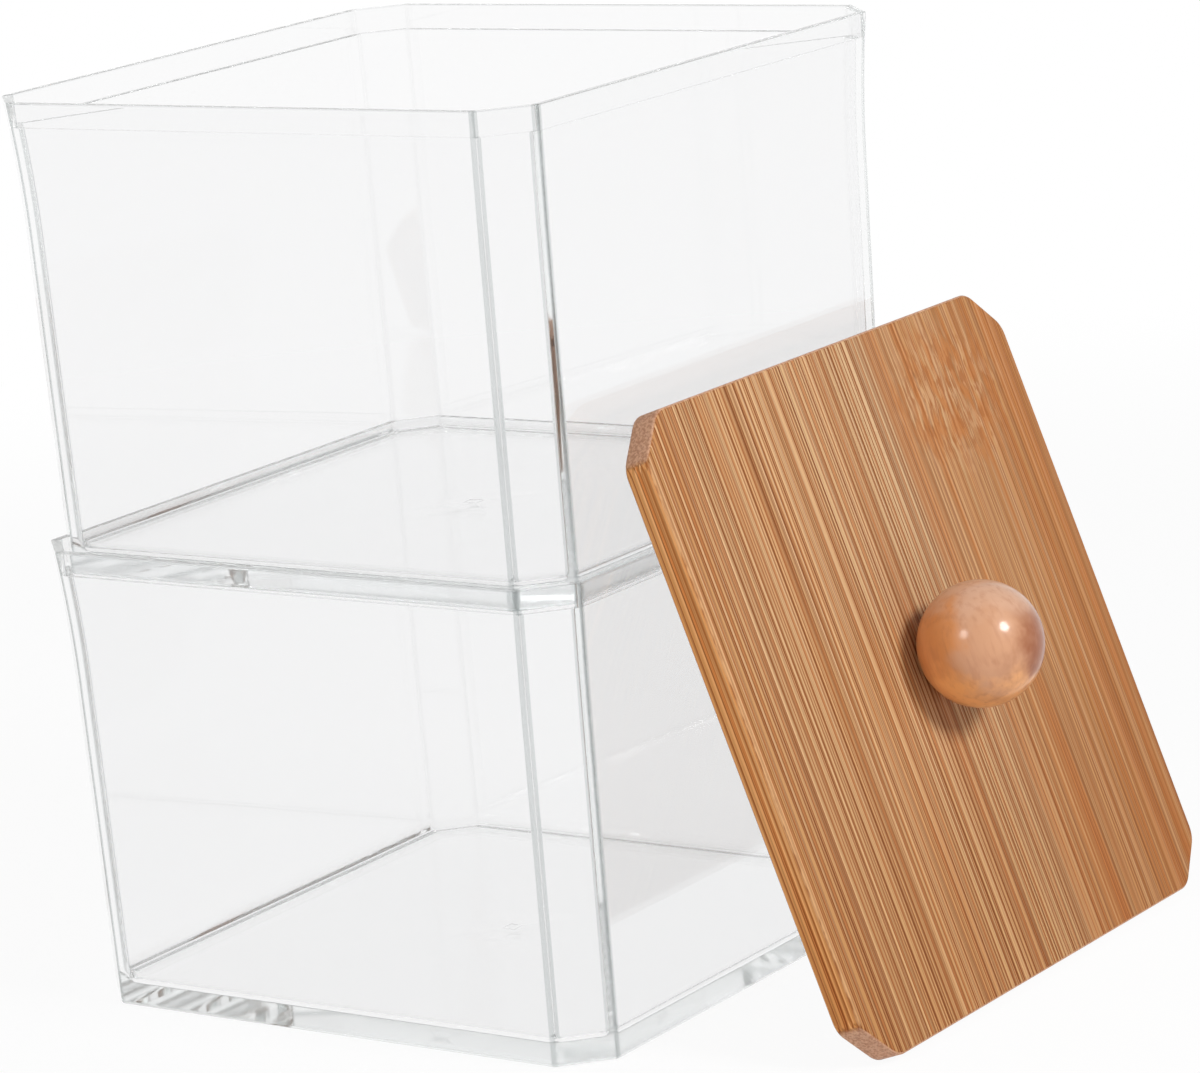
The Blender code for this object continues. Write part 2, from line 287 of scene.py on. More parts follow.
class Recipe:
    """A material or world node tree, with short ways to add and join nodes."""

    def __init__(self, owner: Material | bpy.types.World, output: str) -> None:
        """Empty the owner's node tree and add its output node.

        Args:
            owner: The material or world.
            output: Blender's name of its output node's type.
        """
        owner.use_nodes = True
        self.owner = owner
        self.tree = owner.node_tree
        self.tree.nodes.clear()
        self.output = self.tree.nodes.new(output)

    @classmethod
    def material(cls, name: str) -> "Recipe":
        """Start a new material."""
        return cls(bpy.data.materials.new(name), "ShaderNodeOutputMaterial")

    def node(self, kind: str, sockets: Sockets | None = None, **settings: Any) -> bpy.types.Node:
        """Add a node.

        Args:
            kind: Blender's name of the node type.
            sockets: What goes into its inputs, a plain value or another node's output.
            settings: Values for the node's own properties.

        Returns:
            The new node.
        """
        made = self.tree.nodes.new(kind)
        for name, value in settings.items():
            setattr(made, name, value)
        for name, given in (sockets or {}).items():
            socket = made.inputs[name]
            if isinstance(given, bpy.types.NodeSocket):
                self.tree.links.new(given, socket)
            else:
                socket.default_value = (*given, 1.0) if socket.type == "RGBA" else given
        return made

    def math(self, operation: str, first: Any, second: Any = 0.0, third: Any = 0.0) -> Any:
        """Add a Math node and give its result."""
        return self.node("ShaderNodeMath", {0: first, 1: second, 2: third}, operation=operation).outputs[0]

    def times(self, first: Any, second: Any, plus: Any = 0.0) -> Any:
        """Multiply two numbers and add a third."""
        return self.math("MULTIPLY_ADD", first, second, plus)

    def less(self, first: Any, second: Any) -> Any:
        """Take the second number from the first."""
        return self.math("SUBTRACT", first, second)

    def most(self, first: Any, second: Any) -> Any:
        """Give the larger of two numbers."""
        return self.math("MAXIMUM", first, second)

    def vector_math(self, operation: str, first: Any, second: Any = (0.0, 0.0, 0.0)) -> Any:
        """Add a Vector Math node and give its number."""
        return self.node("ShaderNodeVectorMath", {0: first, 1: second}, operation=operation).outputs["Value"]

    def step(self, value: Any, step: Step) -> Any:
        """Turn a range of values smoothly into another one."""
        sockets = {"Value": value, "From Min": step.start, "From Max": step.end, "To Min": step.first,
                   "To Max": step.last}
        return self.node("ShaderNodeMapRange", sockets, interpolation_type="SMOOTHSTEP").outputs["Result"]

    def noise(self, vector: Any, cloud: Cloud) -> Any:
        """Add a noise pattern and give its value."""
        sockets = {"Vector": vector, "Scale": cloud.scale, "Detail": cloud.detail,
                   "Roughness": cloud.roughness}
        return self.node("ShaderNodeTexNoise", sockets).outputs[0]

    def blend(self, share: Any, first: Any, second: Any, mode: str = "MIX") -> Any:
        """Mix two colours by a share and give the result."""
        sockets = {"Fac": share, "Color1": first, "Color2": second}
        return self.node("ShaderNodeMixRGB", sockets, blend_type=mode).outputs[0]

    def bump(self, height: Any, strength: float, distance: float) -> Any:
        """Give the normal that a pattern of heights bends."""
        sockets = {"Strength": strength, "Distance": distance, "Height": height}
        return self.node("ShaderNodeBump", sockets).outputs[0]

    def own_point(self, output: str = "Object") -> Any:
        """Give the point of the surface, or its normal, in the object's own frame."""
        return self.node("ShaderNodeTexCoord").outputs[output]

    def placed_point(self, place: Matrix) -> Any:
        """Give the point in a piece's own frame, which lies at a place in the row frame."""
        sockets = {"Vector": self.own_point(), "Location": place.translation, "Rotation": place.to_euler()}
        return self.node("ShaderNodeMapping", sockets, vector_type="TEXTURE").outputs[0]

    def attribute(self, name: str) -> Any:
        """Give the number that a piece's points keep under a name."""
        return self.node("ShaderNodeAttribute", attribute_name=name).outputs["Fac"]

    def finish(self, surface: Any, volume: Any = None) -> Material:
        """Join the last shaders to the output and give the material.

        Args:
            surface: The surface shader's output.
            volume: The volume shader's output, if there is one.

        Returns:
            The material or world.
        """
        self.tree.links.new(surface, self.output.inputs["Surface"])
        if volume is not None:
            self.tree.links.new(volume, self.output.inputs["Volume"])
        return self.owner

    def principled(self, sockets: Sockets, volume: Any = None) -> Material:
        """Add the main shader, join it to the output and give the material."""
        return self.finish(self.node("ShaderNodeBsdfPrincipled", sockets).outputs[0], volume)


@dataclass(frozen=True)
class WoodPoint:
    """A point of a wooden piece as three numbers: along its fibres, across them and out of the face."""

    recipe: Recipe
    along: Any
    across: Any
    out: Any

    @classmethod
    def of(cls, recipe: Recipe, point: Any) -> "WoodPoint":
        """Split a point into its three numbers."""
        parts = recipe.node("ShaderNodeSeparateXYZ", {0: point}).outputs
        return cls(recipe, parts[0], parts[1], parts[2])

    def noise(self, grain: Grain) -> Any:
        """Give a noise pattern whose three scales differ."""
        recipe = self.recipe
        stretched = recipe.node("ShaderNodeCombineXYZ", {
            0: recipe.times(self.along, grain.along), 1: recipe.times(self.across, grain.across),
            2: recipe.times(self.out, grain.out, grain.shift)}).outputs[0]
        return recipe.noise(stretched, Cloud(1.0, grain.detail, grain.roughness))


@dataclass(frozen=True)
class ClearPlastic:
    """Clear moulded plastic with painted shade, grey lines on the front arrises, rim and base, and a faint
    ripple.
    """

    wall_tint: Color = (0.960, 0.960, 0.962)
    # Painted shade: a grey that stands in for the dark lines which refraction shows along the arrises
    painted_edge_shade: Color = (0.58, 0.61, 0.61)
    body_tint: Color = (0.74, 0.80, 0.79)
    body_density: float = 2.2
    refraction: float = 1.5
    clearness: float = 1.0
    polish: Step = Step(0.3, 0.7, 0.0, 0.03)
    ripple: Cloud = Cloud(35.0, 1.0)
    ripple_strength: float = 1.0
    ripple_height: float = 0.02 * MM
    matt_roughness: float = 0.22
    # Point attribute that holds each point's share of the painted shade
    painted_shade_attribute: str = "arris"
    matt_attribute: str = "matt"

    def material(self) -> Material:
        """Make the node material.

        Returns:
            The material.
        """
        recipe = Recipe.material("clear_moulded_plastic")
        ripple = recipe.noise(recipe.own_point(), self.ripple)
        rough = recipe.times(recipe.attribute(self.matt_attribute), self.matt_roughness,
                             recipe.step(ripple, self.polish))
        sockets = {"Color": self.body_tint, "Density": self.body_density}
        soak = recipe.node("ShaderNodeVolumeAbsorption", sockets)
        return recipe.principled({
            # Painted shade: the base colour turns grey where the painted shade attribute is high
            "Base Color": recipe.blend(recipe.attribute(self.painted_shade_attribute), self.wall_tint, self.painted_edge_shade),
            "Roughness": rough, "IOR": self.refraction, "Transmission Weight": self.clearness,
            "Normal": recipe.bump(ripple, self.ripple_strength, self.ripple_height)}, soak.outputs[0])


@dataclass(frozen=True)
class Layer:
    """A colour laid over wood by a pattern."""

    color: Color
    grain: Grain
    step: Step


@dataclass(frozen=True)
class Bamboo:
    """Laminated bamboo: fibres run straight along the piece's own X, and strips lie side by side along Y."""

    place: Matrix
    width: float = 103.2 * MM
    thickness: float = 4.8 * MM
    # Share of the width at which a zone is reached, and the wood's colour there
    zones: tuple[tuple[float, Color], ...] = (
        (0.00, (0.530, 0.262, 0.094)), (0.10, (0.590, 0.352, 0.170)), (0.34, (0.640, 0.392, 0.190)),
        (0.52, (0.605, 0.384, 0.200)), (0.62, (0.600, 0.406, 0.226)), (0.70, (0.500, 0.290, 0.128)),
        (0.86, (0.470, 0.230, 0.083)), (1.00, (0.422, 0.184, 0.058)))
    pale: Color = (0.640, 0.385, 0.205)
    warm: Color = (0.470, 0.170, 0.045)
    fibre: Color = (0.165, 0.045, 0.008)
    flank: Color = (0.430, 0.130, 0.028)
    pith: Color = (0.760, 0.500, 0.285)
    # Painted highlight along the long upper edges
    painted_edge_highlight: Color = (0.800, 0.470, 0.225)
    end_grain: Color = (0.700, 0.410, 0.270)
    end_speck: Color = (0.500, 0.250, 0.150)
    # Painted shade: the colour darkens toward the board's lower end, where the light falls off
    painted_low_shade: Color = (0.900, 0.820, 0.700)
    low_shade_step: Step = Step(-12.0 * MM, 45.0 * MM)
    # Partly the warmer edge-on strips, partly painted light that lifts the side faces, which get less light
    side_tint_and_painted_light: Color = (1.520, 1.430, 1.230)
    # Strips, the slow clouds in them and the soft streaks of the calm zone
    strip_width: float = 6.4 * MM
    strip_pale: Step = Step(0.4, 1.0, 0.0, 0.35)
    strip_warm: Step = Step(0.5, 1.0, 0.0, 0.30)
    strip_joint: Step = Step(0.475, 0.5, 0.0, 0.35)
    clouds: tuple[Layer, ...] = (
        Layer(warm, Grain(14.0, 240.0, 0.0, 2.0), Step(0.50, 0.75, 0.0, 0.5)),
        Layer(pale, Grain(14.0, 240.0, 0.0, 2.0), Step(0.50, 0.25, 0.0, 0.3)))
    calm: Step = Step(0.55, 0.66)
    calm_streaks: tuple[Layer, ...] = (
        Layer(warm, Grain(6.0, 520.0, 520.0, 2.0, 0.55), Step(0.48, 0.62, 0.0, 0.75)),
        Layer(pale, Grain(6.0, 520.0, 520.0, 2.0, 0.55), Step(0.48, 0.36, 0.0, 0.65)))
    # How the fibres waver
    drift: Grain = Grain(9.0, 12.0, 12.0)
    swirl: Grain = Grain(130.0, 90.0, 90.0)
    swirl_share: float = 5.0
    waver: float = 0.25 * MM
    # Dark fibres and their warm flanks, with what they lose in the calm zone
    lines: Lines = Lines(620.0, 0.13 * MM)
    line_grain: Grain = Grain(8.0, 620.0, 620.0)
    line_step: Step = Step(0.40, 0.60)
    fine_lines: Lines = Lines(1150.0, 0.085 * MM)
    fine_share: float = 0.75
    line_softness: float = 0.5
    side_slant: float = 0.8
    soft_grain: Grain = Grain(4.0, 1750.0, 1750.0, 1.0, 0.6)
    soft_step: Step = Step(0.55, 0.66, 0.0, 0.38)
    soft_shift: float = 5.1 * MM
    fibre_share: float = 0.84
    fibre_loss: float = 0.55
    flank_reach: float = 1.8
    flank_share: float = 0.70
    flank_loss: float = 0.35
    fine_flank: float = 0.8
    # Hairs, dark and pale
    hair_grain: Grain = Grain(12.0, 3600.0, 3600.0, 1.0, 0.6)
    hair_step: Step = Step(0.42, 0.70)
    hair_share: float = 0.55
    pith_hairs: tuple[Layer, ...] = (
        Layer(pith, Grain(4.0, 1750.0, 1750.0, 2.0, 0.6), Step(0.55, 0.69, 0.0, 0.60)),)
    pith_shift: float = 370.0 * MM
    pith_loss: float = 0.6
    # The knuckle: its middle and half its size along and across, and its marks
    knuckle: tuple[float, float] = (-37.0 * MM, 30.0 * MM)
    knuckle_size: tuple[float, float] = (15.0 * MM, 19.0 * MM)
    knuckle_step: Step = Step(0.1, 1.0, 1.0, 0.0)
    knuckle_marks: tuple[Layer, ...] = (
        Layer(warm, Grain(170.0, 560.0, 0.0, shift=3.0), Step(0.48, 0.62, 0.0, 0.7)),
        Layer(pale, Grain(170.0, 560.0, 0.0, shift=3.0), Step(0.48, 0.38, 0.0, 0.35)),
        Layer((0.330, 0.105, 0.025), Grain(320.0, 1500.0, 0.0, 2.0), Step(0.50, 0.60, 0.0, 0.70)))
    # Painted highlights along the long upper edges, and the faces that turn away from the board's own
    highlight_edge: Step = Step(0.15 * MM, 0.6 * MM, 1.0, 0.0)
    highlight_grain: Grain = Grain(300.0, 1500.0, 1500.0, 2.0)
    highlight_step: Step = Step(0.38, 0.58, 0.10, 0.60)
    speck: Cloud = Cloud(2300.0)
    speck_step: Step = Step(0.42, 0.62)
    side_turn: Step = Step(0.80, 0.97)
    end_turn: Step = Step(0.35, 0.60, 0.0, 0.85)
    hair_depth: float = 0.5
    bump_strength: float = 0.6
    bump_height: float = 0.05 * MM
    roughness: Step = Step(0.0, 1.0, 0.48, 0.68)
    gloss: float = 0.18

    def material(self) -> Material:
        """Make the node material.

        Returns:
            The material.
        """
        recipe = Recipe.material("laminated_bamboo")
        point = recipe.placed_point(self.place)
        straight = WoodPoint.of(recipe, point)
        knuckle = self._knuckle(straight)
        wood = replace(straight, across=self._waver(straight, knuckle))
        aside = replace(wood, across=recipe.math("ADD", wood.across, self.pith_shift))
        share = recipe.times(wood.across, 1 / self.width, 1 / 2)
        calm = recipe.step(share, self.calm)
        strip = recipe.math("DIVIDE", wood.across, self.strip_width)
        number = recipe.math("FLOOR", strip)
        lines_at = recipe.times(wood.out, self.side_slant, wood.across)
        fibres = self._fibres(wood, number, calm, lines_at)
        hairs = recipe.step(wood.noise(self.hair_grain), self.hair_step)
        colour = self._strips(wood, share, number, recipe.math("FRACT", strip))
        colour = self._lay(wood, colour, self.calm_streaks, calm)
        colour = recipe.blend(self._flanks(recipe, lines_at, calm), colour, self.flank)
        colour = recipe.blend(recipe.times(fibres, self.fibre_share), colour, self.fibre)
        colour = recipe.blend(recipe.times(hairs, self.hair_share), colour, self.fibre)
        colour = self._lay(aside, colour, self.pith_hairs, recipe.times(calm, -self.pith_loss, 1.0))
        colour = self._lay(wood, colour, self.knuckle_marks, knuckle)
        # Painted shade toward the lower end of the board
        colour = recipe.blend(recipe.step(wood.along, self.low_shade_step), colour, self.painted_low_shade, "MULTIPLY")
        colour = self._other_faces(recipe, colour, point)
        # Painted highlight on the long upper edges
        colour = self._painted_edge_highlights(wood, colour)
        height = recipe.less(1.0, recipe.times(hairs, self.hair_depth, fibres))
        return recipe.principled({
            "Base Color": colour, "Roughness": recipe.step(fibres, self.roughness),
            "Specular IOR Level": self.gloss,
            "Normal": recipe.bump(height, self.bump_strength, self.bump_height)})

    def _lay(self, wood: WoodPoint, colour: Any, layers: tuple[Layer, ...], where: Any) -> Any:
        """Lay colours over another one, each by its own pattern and all by a share that says where.

        Args:
            wood: The point, with its waver.
            colour: The colour below.
            layers: The colours, with their patterns.
            where: Share of all layers.

        Returns:
            The new colour.
        """
        patterns = {layer.grain: wood.noise(layer.grain) for layer in layers}
        for layer in layers:
            share = wood.recipe.step(patterns[layer.grain], layer.step)
            colour = wood.recipe.blend(wood.recipe.times(share, where), colour, layer.color)
        return colour

    def _knuckle(self, wood: WoodPoint) -> Any:
        """Give 1 in the middle of the knuckle, falling to 0 at its oval edge.

        Args:
            wood: The point, without waver.

        Returns:
            The share.
        """
        recipe = wood.recipe
        places = zip((wood.along, wood.across), self.knuckle, self.knuckle_size)
        offsets = [recipe.math("DIVIDE", recipe.less(at, middle), size) for at, middle, size in places]
        return recipe.step(recipe.math("ADD", *[recipe.times(it, it) for it in offsets]), self.knuckle_step)

    def _waver(self, wood: WoodPoint, knuckle: Any) -> Any:
        """Shift the fibres sideways a little along their length, and more in the knuckle.

        Args:
            wood: The point.
            knuckle: Share of the knuckle.

        Returns:
            The place across the fibres.
        """
        recipe = wood.recipe
        drift = recipe.less(wood.noise(self.drift), 1 / 2)
        swirl = recipe.times(recipe.less(wood.noise(self.swirl), 1 / 2), knuckle)
        return recipe.times(recipe.times(swirl, self.swirl_share, drift), self.waver, wood.across)

    def _fibres(self, wood: WoodPoint, number: Any, calm: Any, lines_at: Any) -> Any:
        """Draw long dark fibres: thin straight lines between uneven cells, and noise stretched along them.

        Args:
            wood: The point, with its waver.
            number: Number of the strip, which shifts the noise.
            calm: Share of calm wood.
            lines_at: Place across the lines, on the face and down the sides alike.

        Returns:
            Share of dark fibre.
        """
        recipe = wood.recipe
        shade = recipe.step(wood.noise(self.line_grain), self.line_step)
        lines = recipe.times(self._lines(recipe, lines_at, self.lines), shade)
        fine = recipe.times(self._lines(recipe, lines_at, self.fine_lines), self.fine_share)
        moved = replace(wood, across=recipe.times(number, self.soft_shift, wood.across))
        soft = recipe.step(moved.noise(self.soft_grain), self.soft_step)
        fibres = recipe.most(recipe.most(lines, fine), soft)
        return recipe.times(fibres, recipe.times(calm, -self.fibre_loss, 1.0))

    def _flanks(self, recipe: Recipe, lines_at: Any, calm: Any) -> Any:
        """Give the share of the warm flanks on both sides of the dark lines.

        Args:
            recipe: The node tree.
            lines_at: Place across the lines.
            calm: Share of calm wood.

        Returns:
            The share.
        """
        fine = recipe.times(self._lines(recipe, lines_at, self.fine_lines, self.flank_reach), self.fine_flank)
        both = recipe.most(self._lines(recipe, lines_at, self.lines, self.flank_reach), fine)
        return recipe.times(both, recipe.times(calm, -self.flank_loss, self.flank_share))

    def _lines(self, recipe: Recipe, across: Any, lines: Lines, reach: float = 1.0) -> Any:
        """Draw lines of one width, times a reach, on the borders of uneven cells across the board.

        Args:
            recipe: The node tree.
            across: Place across the lines.
            lines: Their rate and width.
            reach: What the width is multiplied by.

        Returns:
            Share of line.
        """
        cells = recipe.node("ShaderNodeTexVoronoi", {"W": across, "Scale": lines.rate},
                            voronoi_dimensions="1D", feature="DISTANCE_TO_EDGE").outputs["Distance"]
        half = lines.half * lines.rate * reach
        soft = half * self.line_softness
        return recipe.step(cells, Step(half - soft, half + soft, 1.0, 0.0))

    def _strips(self, wood: WoodPoint, share: Any, number: Any, in_strip: Any) -> Any:
        """Colour the wood by zones across the board, strip by strip, with slow clouds along it.

        Args:
            wood: The point, with its waver.
            share: Place across the board, from 0 to 1.
            number: Number of the strip.
            in_strip: Place across the strip, from 0 to 1.

        Returns:
            The colour.
        """
        recipe = wood.recipe
        ramp = recipe.node("ShaderNodeValToRGB", {0: share})
        stops = ramp.color_ramp.elements
        for _ in self.zones[2:]:
            stops.new(1 / 2)
        for stop, (position, colour) in zip(stops, self.zones):
            stop.position = position
            stop.color = (*colour, 1.0)
        chance = recipe.node("ShaderNodeTexWhiteNoise", {"W": number}, noise_dimensions="1D").outputs["Color"]
        lottery = recipe.node("ShaderNodeSeparateColor", {0: chance}).outputs
        base = recipe.blend(recipe.step(lottery[1], self.strip_pale), ramp.outputs[0], self.pale)
        base = recipe.blend(recipe.step(lottery[2], self.strip_warm), base, self.warm)
        base = self._lay(wood, base, self.clouds, 1.0)
        edge = recipe.math("ABSOLUTE", recipe.less(in_strip, 1 / 2))
        return recipe.blend(recipe.step(edge, self.strip_joint), base, self.fibre)

    def _painted_edge_highlights(self, wood: WoodPoint, colour: Any) -> Any:
        """Lighten the long upper edges with a painted highlight, in uneven stretches.

        Args:
            wood: The point, with its waver.
            colour: The colour below.

        Returns:
            The new colour.
        """
        recipe = wood.recipe
        aside = recipe.less(self.width / 2, recipe.math("ABSOLUTE", wood.across))
        near = recipe.times(recipe.step(aside, self.highlight_edge),
                            recipe.step(recipe.less(self.thickness, wood.out), self.highlight_edge))
        uneven = recipe.step(wood.noise(self.highlight_grain), self.highlight_step)
        return recipe.blend(recipe.times(near, uneven), colour, self.painted_edge_highlight)

    def _other_faces(self, recipe: Recipe, colour: Any, point: Any) -> Any:
        """Lighten and warm the side faces, partly their grain and partly painted light, and speckle the faces
        that cut the fibres, by how far their normals turn.

        Args:
            recipe: The node tree.
            colour: The colour below.
            point: The point in the lid's own frame.

        Returns:
            The new colour.
        """
        turn = self.place.to_3x3()
        side = self._turned(recipe, turn.col[1], self.side_turn)
        # Painted light, with some real warmth, on the side faces
        colour = recipe.blend(side, colour, self.side_tint_and_painted_light, "MULTIPLY")
        speck = recipe.step(recipe.noise(point, self.speck), self.speck_step)
        ends = recipe.blend(speck, self.end_grain, self.end_speck)
        return recipe.blend(self._turned(recipe, turn.col[0], self.end_turn), colour, ends)

    def _turned(self, recipe: Recipe, direction: Vector, step: Step) -> Any:
        """Give a share that grows as a face's normal turns toward a direction, either way."""
        turned = recipe.vector_math("DOT_PRODUCT", recipe.own_point("Normal"), direction)
        return recipe.step(recipe.math("ABSOLUTE", turned), step)


@dataclass(frozen=True)
class KnobWood:
    """Turned pinkish wood under clear gloss lacquer, painted with an amber board reflection on one side,
    mauve shade on the other and light on top.
    """

    place: Matrix
    radius: float = 9.99 * MM
    rose: Color = (0.605, 0.315, 0.176)
    # Painted light on the ball: amber is a painted reflection of the board, mauve painted shade, pale painted
    # light on top, cream painted bounce light below
    painted_board_reflection: Color = (0.645, 0.265, 0.092)
    painted_side_shade: Color = (0.290, 0.085, 0.026)
    pale: Color = (0.660, 0.388, 0.255)
    painted_bounce_light: Color = (0.860, 0.400, 0.142)
    streak_color: Color = (0.430, 0.170, 0.080)
    # Directions in the ball's own frame: X down the board, Y across it, Z out of it
    shade_direction: Direction = (0.35, 0.57, 0.74)
    pale_side: Direction = (-0.93, 0.23, 0.27)
    reflection_step: Step = Step(-0.20, -0.75)
    side_shade_step: Step = Step(0.22, 0.80)
    top_light_step: Step = Step(0.25, 0.80, 0.0, 0.9)
    bounce_light_step: Step = Step(-0.30, -0.85, 0.0, 0.9)
    patch: Cloud = Cloud(170.0, 3.0, 0.55)
    patch_reach: float = 1.2
    streaks: Grain = Grain(160.0, 1100.0, 1100.0, 2.0)
    streak_step: Step = Step(0.45, 0.75, 0.0, 0.30)
    streak_strength: float = 0.3
    streak_height: float = 0.02 * MM
    roughness: Step = Step(0.3, 0.7, 0.38, 0.5)
    gloss: float = 0.2
    coat: float = 0.75
    coat_roughness: float = 0.14
    coat_refraction: float = 1.38
    coat_grain: Cloud = Cloud(2600.0, 1.0)
    coat_strength: float = 0.5
    coat_height: float = 0.012 * MM

    def material(self) -> Material:
        """Make the node material.

        Returns:
            The material.
        """
        recipe = Recipe.material("lacquered_knob_wood")
        point = recipe.placed_point(self.place)
        patch = recipe.noise(point, self.patch)
        # Shares of painted reflection and shade across the ball, and of painted light up and down it
        side = self._toward(recipe, point, self.shade_direction, patch)
        top = self._toward(recipe, point, self.pale_side, patch)
        colour = recipe.blend(recipe.step(side, self.reflection_step), self.rose, self.painted_board_reflection)
        colour = recipe.blend(recipe.step(side, self.side_shade_step), colour, self.painted_side_shade)
        colour = recipe.blend(recipe.step(top, self.top_light_step), colour, self.pale)
        colour = recipe.blend(recipe.step(top, self.bounce_light_step), colour, self.painted_bounce_light)
        streaks = recipe.step(WoodPoint.of(recipe, point).noise(self.streaks), self.streak_step)
        coat_grain = recipe.noise(point, self.coat_grain)
        return recipe.principled({
            "Base Color": recipe.blend(streaks, colour, self.streak_color),
            "Roughness": recipe.step(patch, self.roughness), "Specular IOR Level": self.gloss,
            "Normal": recipe.bump(streaks, self.streak_strength, self.streak_height),
            "Coat Weight": self.coat, "Coat Roughness": self.coat_roughness, "Coat IOR": self.coat_refraction,
            "Coat Normal": recipe.bump(coat_grain, self.coat_strength, self.coat_height)})

    def _toward(self, recipe: Recipe, point: Any, direction: Direction, patch: Any) -> Any:
        """Give how far a point lies toward a direction, as a share of the radius, blurred by the patches."""
        share = recipe.times(recipe.vector_math("DOT_PRODUCT", point, direction), 1 / self.radius)
        return recipe.times(recipe.less(patch, 1 / 2), self.patch_reach, share)


@dataclass(frozen=True)
class ZincSteel:
    """Zinc-plated steel with a fine lathe grain."""

    place: Matrix
    color: Color = (0.55, 0.56, 0.57)
    dull: Color = (0.38, 0.38, 0.37)
    cloud: Cloud = Cloud(700.0, 3.0)
    dull_step: Step = Step(0.4, 0.7)
    roughness: Step = Step(0.3, 0.7, 0.28, 0.45)
    bump_strength: float = 0.3
    bump_height: float = 0.02 * MM
    metal: float = 1.0

    def material(self) -> Material:
        """Make the node material.

        Returns:
            The material.
        """
        recipe = Recipe.material("zinc_plated_steel")
        cloud = recipe.noise(recipe.placed_point(self.place), self.cloud)
        return recipe.principled({
            "Base Color": recipe.blend(recipe.step(cloud, self.dull_step), self.color, self.dull),
            "Roughness": recipe.step(cloud, self.roughness), "Metallic": self.metal,
            "Normal": recipe.bump(cloud, self.bump_strength, self.bump_height)})


@dataclass
class ClearBox:
    """One clear box: an octagon that flares to its rim, with a ledge in its mouth and a filleted floor."""

    node: str
    name: str
    body: Body
    base: float
    rim_width: float = 104.0 * MM
    height: float = 75.4 * MM
    corner_leg: float = 7.1 * MM
    side_wall: float = 2.6 * MM
    floor_thickness: float = 3.0 * MM
    floor_fillet: float = 2.0 * MM
    draft: float = math.radians(0.9)
    flare_width: float = 0.78 * MM
    flare_depth: float = 22.0 * MM
    ledge_depth: float = 4.0 * MM
    ledge_edge: float = 0.15 * MM
    base_edge: float = 0.6 * MM
    rim_edge: float = 0.25 * MM
    outer_arris: float = 1.0 * MM
    inner_arris: float = 0.7 * MM
    seat_gap: float = 0.3 * MM
    nest_clearance: float = 0.3 * MM
    hold: float = 0.12 * MM
    arc_steps: int = 8
    edge_steps: int = 5
    wall_steps: int = 14
    fillet_steps: int = 12
    gate_radius: float = 1.6 * MM
    gate_ring: float = 0.25 * MM
    gate_height: float = 0.03 * MM
    gate_steps: int = 8
    dimple_radius: float = 0.6 * MM
    flow_radius: float = 12.0 * MM
    # Painted shade on the arrises grows from nothing to full between these distances in front of the middle
    front_start: float = 30.0 * MM
    front_end: float = 44.0 * MM
    # Shares of painted shade round the rim and the base
    rim_painted_shade: float = 0.15
    base_painted_shade: float = 0.12
    under_matt: float = 0.12

    def outer_half(self, height: Array) -> Array:
        """Give half the outer width: the rim's, less the draft's share and a parabola's for the flare.

        Args:
            height: Heights above the underside.

        Returns:
            The half widths.
        """
        depth = self.height - height
        fade = np.clip(depth / self.flare_depth, 0, 1)
        return self.rim_width / 2 - depth * math.tan(self.draft) - self.flare_width * (1 - (1 - fade) ** 2)

    def _rings(self, half: Array, moved_in: Array | float, radius: float, height: Array) -> Array:
        """Give rings at half widths and heights, with corner legs shortened by how far the sides moved in."""
        leg = np.broadcast_to(self.corner_leg - LEG_LOSS_SHARE * moved_in, half.shape)
        return octagon_rings(half, leg, radius, height, self.arc_steps, self.hold)

    def outside(self) -> Array:
        """Give the rings round the lower edge, a quarter circle, and up the flaring wall.

        Returns:
            The rings.
        """
        low, inward = quarter(self.base_edge, self.edge_steps)
        edge = self._rings(self.outer_half(low) - inward, inward, self.outer_arris, low)
        wall_foot = np.array([self.base_edge + self.hold])
        wall_top = self.height - self.rim_edge - self.hold
        high = np.append(wall_foot, np.linspace(self.height - self.flare_depth, wall_top, self.wall_steps))
        return np.concatenate([edge, self._rings(self.outer_half(high), 0.0, self.outer_arris, high)])

    def rim(self) -> Array:
        """Give the rings over the rim, with a quarter circle at each edge, and down the mouth to the ledge.

        Returns:
            The rings.
        """
        near, far = quarter(self.rim_edge, self.edge_steps)
        mouth = self.mouth_half()
        lip = self.rim_width / 2 - mouth
        wall_top = float(self.outer_half(np.array(self.height - self.rim_edge)))
        outer = self._rings(wall_top - near, near, self.outer_arris, self.height - far)
        across = lip - far
        inner = self._rings(self.rim_width / 2 - across, across, self.inner_arris, self.height - near)
        ledge = self.ledge_height()
        down = np.array([self.height - self.rim_edge - self.hold, ledge + self.hold, ledge])
        wall = self._rings(np.full(len(down), mouth), lip, self.inner_arris, down)
        return np.concatenate([outer, inner, wall])

    def inside(self) -> Array:
        """Give the rings from the ledge's inner edge, down the inside and round the fillet to the floor.

        Returns:
            The rings.
        """
        ledge = self.ledge_height()
        near, outward = quarter(self.ledge_edge, self.edge_steps)
        moved_in = self.side_wall - outward
        edge = self._rings(self.outer_half(ledge - near) - moved_in, moved_in, self.inner_arris, ledge - near)
        fillet_top = self.floor_thickness + self.floor_fillet
        wall_top = ledge - self.ledge_edge - self.hold
        down = np.append(np.linspace(wall_top, self.height - self.flare_depth, self.wall_steps),
                         fillet_top + self.hold)
        wall = self._rings(self.outer_half(down) - self.side_wall, self.side_wall, self.inner_arris, down)
        inward, above = quarter(self.floor_fillet, self.fillet_steps)
        moved_in = self.side_wall + inward
        half = self.outer_half(np.full(len(inward), fillet_top)) - moved_in
        fillet = self._rings(half, moved_in, self.inner_arris, self.floor_thickness + above)
        return np.concatenate([edge, wall, fillet])

